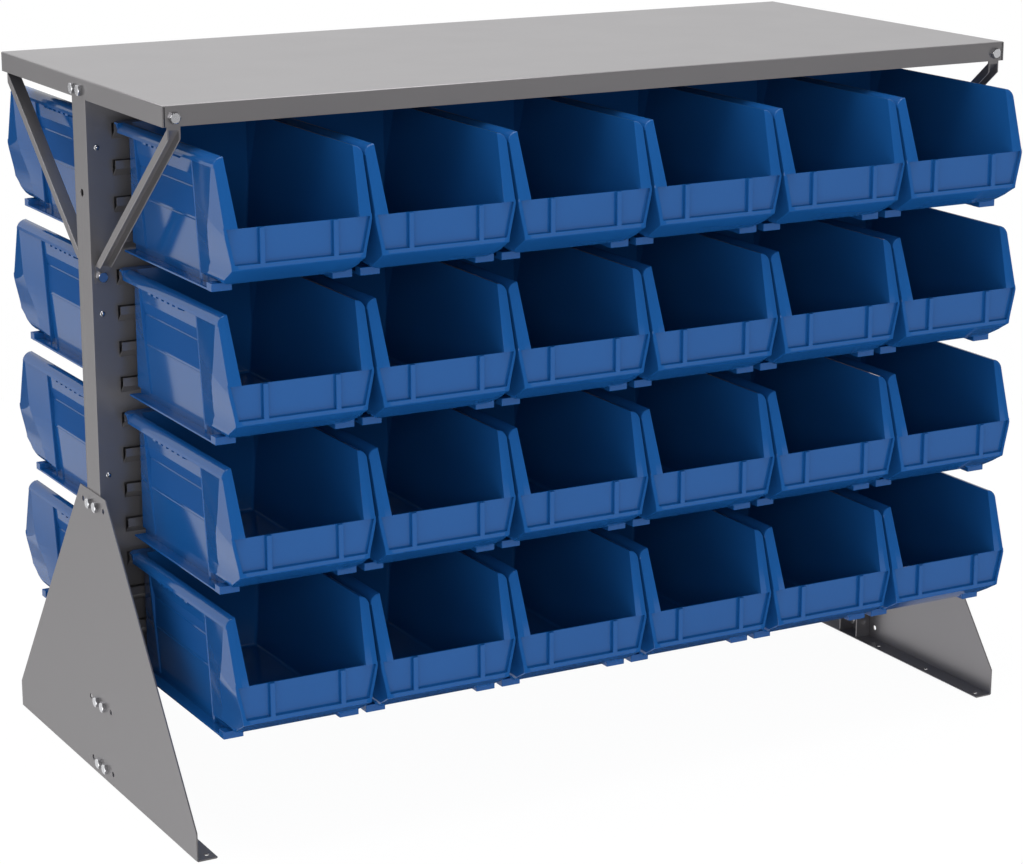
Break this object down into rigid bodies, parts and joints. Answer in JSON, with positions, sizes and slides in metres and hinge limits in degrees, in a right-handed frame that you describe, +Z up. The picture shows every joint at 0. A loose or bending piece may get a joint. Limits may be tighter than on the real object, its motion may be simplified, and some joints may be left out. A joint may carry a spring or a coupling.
{
  "type": "louvered_bin_rack",
  "caption": "Double-sided louvered floor rack with a folded steel worktop, tapered legs and rows of blue open-front bins that lift off their louvers",
  "frame": {"origin": "on the floor, under the middle of the rack", "axes": "+X along the length, from the left end to the right end seen from the front; -Y towards the front; +Z up"},
  "size_m": [1.351, 0.813, 1.016],
  "materials": {
    "grey_enamel": "smooth baked enamel, half gloss",
    "zinc": "bright zinc plate",
    "bin_plastic": "glossy moulded plastic"
  },
  "bodies": {
    "rack": {"worktop": "grey_enamel", "upright_left": "grey_enamel", "upright_right": "grey_enamel", "leg_left": "grey_enamel", "leg_right": "grey_enamel", "louver_panel_front": "grey_enamel", "louver_panel_back": "grey_enamel", "braces_left": "grey_enamel", "braces_right": "grey_enamel", "hex_bolts": "zinc", "hex_nuts": "zinc", "panel_screws": "zinc"},
    "bin_front_r1c1": {"bin_front_r1c1": "bin_plastic"},
    "bin_front_r1c2": {"bin_front_r1c2": "bin_plastic"},
    "bin_front_r1c3": {"bin_front_r1c3": "bin_plastic"},
    "bin_front_r1c4": {"bin_front_r1c4": "bin_plastic"},
    "bin_front_r1c5": {"bin_front_r1c5": "bin_plastic"},
    "bin_front_r1c6": {"bin_front_r1c6": "bin_plastic"},
    "bin_front_r2c1": {"bin_front_r2c1": "bin_plastic"},
    "bin_front_r2c2": {"bin_front_r2c2": "bin_plastic"},
    "bin_front_r2c3": {"bin_front_r2c3": "bin_plastic"},
    "bin_front_r2c4": {"bin_front_r2c4": "bin_plastic"},
    "bin_front_r2c5": {"bin_front_r2c5": "bin_plastic"},
    "bin_front_r2c6": {"bin_front_r2c6": "bin_plastic"},
    "bin_front_r3c1": {"bin_front_r3c1": "bin_plastic"},
    "bin_front_r3c2": {"bin_front_r3c2": "bin_plastic"},
    "bin_front_r3c3": {"bin_front_r3c3": "bin_plastic"},
    "bin_front_r3c4": {"bin_front_r3c4": "bin_plastic"},
    "bin_front_r3c5": {"bin_front_r3c5": "bin_plastic"},
    "bin_front_r3c6": {"bin_front_r3c6": "bin_plastic"},
    "bin_front_r4c1": {"bin_front_r4c1": "bin_plastic"},
    "bin_front_r4c2": {"bin_front_r4c2": "bin_plastic"},
    "bin_front_r4c3": {"bin_front_r4c3": "bin_plastic"},
    "bin_front_r4c4": {"bin_front_r4c4": "bin_plastic"},
    "bin_front_r4c5": {"bin_front_r4c5": "bin_plastic"},
    "bin_front_r4c6": {"bin_front_r4c6": "bin_plastic"},
    "bin_back_r1c1": {"bin_back_r1c1": "bin_plastic"},
    "bin_back_r1c2": {"bin_back_r1c2": "bin_plastic"},
    "bin_back_r1c3": {"bin_back_r1c3": "bin_plastic"},
    "bin_back_r1c4": {"bin_back_r1c4": "bin_plastic"},
    "bin_back_r1c5": {"bin_back_r1c5": "bin_plastic"},
    "bin_back_r1c6": {"bin_back_r1c6": "bin_plastic"},
    "bin_back_r2c1": {"bin_back_r2c1": "bin_plastic"},
    "bin_back_r2c2": {"bin_back_r2c2": "bin_plastic"},
    "bin_back_r2c3": {"bin_back_r2c3": "bin_plastic"},
    "bin_back_r2c4": {"bin_back_r2c4": "bin_plastic"},
    "bin_back_r2c5": {"bin_back_r2c5": "bin_plastic"},
    "bin_back_r2c6": {"bin_back_r2c6": "bin_plastic"},
    "bin_back_r3c1": {"bin_back_r3c1": "bin_plastic"},
    "bin_back_r3c2": {"bin_back_r3c2": "bin_plastic"},
    "bin_back_r3c3": {"bin_back_r3c3": "bin_plastic"},
    "bin_back_r3c4": {"bin_back_r3c4": "bin_plastic"},
    "bin_back_r3c5": {"bin_back_r3c5": "bin_plastic"},
    "bin_back_r3c6": {"bin_back_r3c6": "bin_plastic"},
    "bin_back_r4c1": {"bin_back_r4c1": "bin_plastic"},
    "bin_back_r4c2": {"bin_back_r4c2": "bin_plastic"},
    "bin_back_r4c3": {"bin_back_r4c3": "bin_plastic"},
    "bin_back_r4c4": {"bin_back_r4c4": "bin_plastic"},
    "bin_back_r4c5": {"bin_back_r4c5": "bin_plastic"},
    "bin_back_r4c6": {"bin_back_r4c6": "bin_plastic"}
  },
  "joints": [
    {"name": "lift_front_r1c1", "type": "slide", "parent": "rack", "child": "bin_front_r1c1", "axis": [0, 0, 1], "range_m": [0, 0.02]},
    {"name": "lift_front_r1c2", "type": "slide", "parent": "rack", "child": "bin_front_r1c2", "axis": [0, 0, 1], "range_m": [0, 0.02]},
    {"name": "lift_front_r1c3", "type": "slide", "parent": "rack", "child": "bin_front_r1c3", "axis": [0, 0, 1], "range_m": [0, 0.02]},
    {"name": "lift_front_r1c4", "type": "slide", "parent": "rack", "child": "bin_front_r1c4", "axis": [0, 0, 1], "range_m": [0, 0.02]},
    {"name": "lift_front_r1c5", "type": "slide", "parent": "rack", "child": "bin_front_r1c5", "axis": [0, 0, 1], "range_m": [0, 0.02]},
    {"name": "lift_front_r1c6", "type": "slide", "parent": "rack", "child": "bin_front_r1c6", "axis": [0, 0, 1], "range_m": [0, 0.02]},
    {"name": "lift_front_r2c1", "type": "slide", "parent": "rack", "child": "bin_front_r2c1", "axis": [0, 0, 1], "range_m": [0, 0.02]},
    {"name": "lift_front_r2c2", "type": "slide", "parent": "rack", "child": "bin_front_r2c2", "axis": [0, 0, 1], "range_m": [0, 0.02]},
    {"name": "lift_front_r2c3", "type": "slide", "parent": "rack", "child": "bin_front_r2c3", "axis": [0, 0, 1], "range_m": [0, 0.02]},
    {"name": "lift_front_r2c4", "type": "slide", "parent": "rack", "child": "bin_front_r2c4", "axis": [0, 0, 1], "range_m": [0, 0.02]},
    {"name": "lift_front_r2c5", "type": "slide", "parent": "rack", "child": "bin_front_r2c5", "axis": [0, 0, 1], "range_m": [0, 0.02]},
    {"name": "lift_front_r2c6", "type": "slide", "parent": "rack", "child": "bin_front_r2c6", "axis": [0, 0, 1], "range_m": [0, 0.02]},
    {"name": "lift_front_r3c1", "type": "slide", "parent": "rack", "child": "bin_front_r3c1", "axis": [0, 0, 1], "range_m": [0, 0.02]},
    {"name": "lift_front_r3c2", "type": "slide", "parent": "rack", "child": "bin_front_r3c2", "axis": [0, 0, 1], "range_m": [0, 0.02]},
    {"name": "lift_front_r3c3", "type": "slide", "parent": "rack", "child": "bin_front_r3c3", "axis": [0, 0, 1], "range_m": [0, 0.02]},
    {"name": "lift_front_r3c4", "type": "slide", "parent": "rack", "child": "bin_front_r3c4", "axis": [0, 0, 1], "range_m": [0, 0.02]},
    {"name": "lift_front_r3c5", "type": "slide", "parent": "rack", "child": "bin_front_r3c5", "axis": [0, 0, 1], "range_m": [0, 0.02]},
    {"name": "lift_front_r3c6", "type": "slide", "parent": "rack", "child": "bin_front_r3c6", "axis": [0, 0, 1], "range_m": [0, 0.02]},
    {"name": "lift_front_r4c1", "type": "slide", "parent": "rack", "child": "bin_front_r4c1", "axis": [0, 0, 1], "range_m": [0, 0.02]},
    {"name": "lift_front_r4c2", "type": "slide", "parent": "rack", "child": "bin_front_r4c2", "axis": [0, 0, 1], "range_m": [0, 0.02]},
    {"name": "lift_front_r4c3", "type": "slide", "parent": "rack", "child": "bin_front_r4c3", "axis": [0, 0, 1], "range_m": [0, 0.02]},
    {"name": "lift_front_r4c4", "type": "slide", "parent": "rack", "child": "bin_front_r4c4", "axis": [0, 0, 1], "range_m": [0, 0.02]},
    {"name": "lift_front_r4c5", "type": "slide", "parent": "rack", "child": "bin_front_r4c5", "axis": [0, 0, 1], "range_m": [0, 0.02]},
    {"name": "lift_front_r4c6", "type": "slide", "parent": "rack", "child": "bin_front_r4c6", "axis": [0, 0, 1], "range_m": [0, 0.02]},
    {"name": "lift_back_r1c1", "type": "slide", "parent": "rack", "child": "bin_back_r1c1", "axis": [0, 0, 1], "range_m": [0, 0.02]},
    {"name": "lift_back_r1c2", "type": "slide", "parent": "rack", "child": "bin_back_r1c2", "axis": [0, 0, 1], "range_m": [0, 0.02]},
    {"name": "lift_back_r1c3", "type": "slide", "parent": "rack", "child": "bin_back_r1c3", "axis": [0, 0, 1], "range_m": [0, 0.02]},
    {"name": "lift_back_r1c4", "type": "slide", "parent": "rack", "child": "bin_back_r1c4", "axis": [0, 0, 1], "range_m": [0, 0.02]},
    {"name": "lift_back_r1c5", "type": "slide", "parent": "rack", "child": "bin_back_r1c5", "axis": [0, 0, 1], "range_m": [0, 0.02]},
    {"name": "lift_back_r1c6", "type": "slide", "parent": "rack", "child": "bin_back_r1c6", "axis": [0, 0, 1], "range_m": [0, 0.02]},
    {"name": "lift_back_r2c1", "type": "slide", "parent": "rack", "child": "bin_back_r2c1", "axis": [0, 0, 1], "range_m": [0, 0.02]},
    {"name": "lift_back_r2c2", "type": "slide", "parent": "rack", "child": "bin_back_r2c2", "axis": [0, 0, 1], "range_m": [0, 0.02]},
    {"name": "lift_back_r2c3", "type": "slide", "parent": "rack", "child": "bin_back_r2c3", "axis": [0, 0, 1], "range_m": [0, 0.02]},
    {"name": "lift_back_r2c4", "type": "slide", "parent": "rack", "child": "bin_back_r2c4", "axis": [0, 0, 1], "range_m": [0, 0.02]},
    {"name": "lift_back_r2c5", "type": "slide", "parent": "rack", "child": "bin_back_r2c5", "axis": [0, 0, 1], "range_m": [0, 0.02]},
    {"name": "lift_back_r2c6", "type": "slide", "parent": "rack", "child": "bin_back_r2c6", "axis": [0, 0, 1], "range_m": [0, 0.02]},
    {"name": "lift_back_r3c1", "type": "slide", "parent": "rack", "child": "bin_back_r3c1", "axis": [0, 0, 1], "range_m": [0, 0.02]},
    {"name": "lift_back_r3c2", "type": "slide", "parent": "rack", "child": "bin_back_r3c2", "axis": [0, 0, 1], "range_m": [0, 0.02]},
    {"name": "lift_back_r3c3", "type": "slide", "parent": "rack", "child": "bin_back_r3c3", "axis": [0, 0, 1], "range_m": [0, 0.02]},
    {"name": "lift_back_r3c4", "type": "slide", "parent": "rack", "child": "bin_back_r3c4", "axis": [0, 0, 1], "range_m": [0, 0.02]},
    {"name": "lift_back_r3c5", "type": "slide", "parent": "rack", "child": "bin_back_r3c5", "axis": [0, 0, 1], "range_m": [0, 0.02]},
    {"name": "lift_back_r3c6", "type": "slide", "parent": "rack", "child": "bin_back_r3c6", "axis": [0, 0, 1], "range_m": [0, 0.02]},
    {"name": "lift_back_r4c1", "type": "slide", "parent": "rack", "child": "bin_back_r4c1", "axis": [0, 0, 1], "range_m": [0, 0.02]},
    {"name": "lift_back_r4c2", "type": "slide", "parent": "rack", "child": "bin_back_r4c2", "axis": [0, 0, 1], "range_m": [0, 0.02]},
    {"name": "lift_back_r4c3", "type": "slide", "parent": "rack", "child": "bin_back_r4c3", "axis": [0, 0, 1], "range_m": [0, 0.02]},
    {"name": "lift_back_r4c4", "type": "slide", "parent": "rack", "child": "bin_back_r4c4", "axis": [0, 0, 1], "range_m": [0, 0.02]},
    {"name": "lift_back_r4c5", "type": "slide", "parent": "rack", "child": "bin_back_r4c5", "axis": [0, 0, 1], "range_m": [0, 0.02]},
    {"name": "lift_back_r4c6", "type": "slide", "parent": "rack", "child": "bin_back_r4c6", "axis": [0, 0, 1], "range_m": [0, 0.02]}
  ]
}
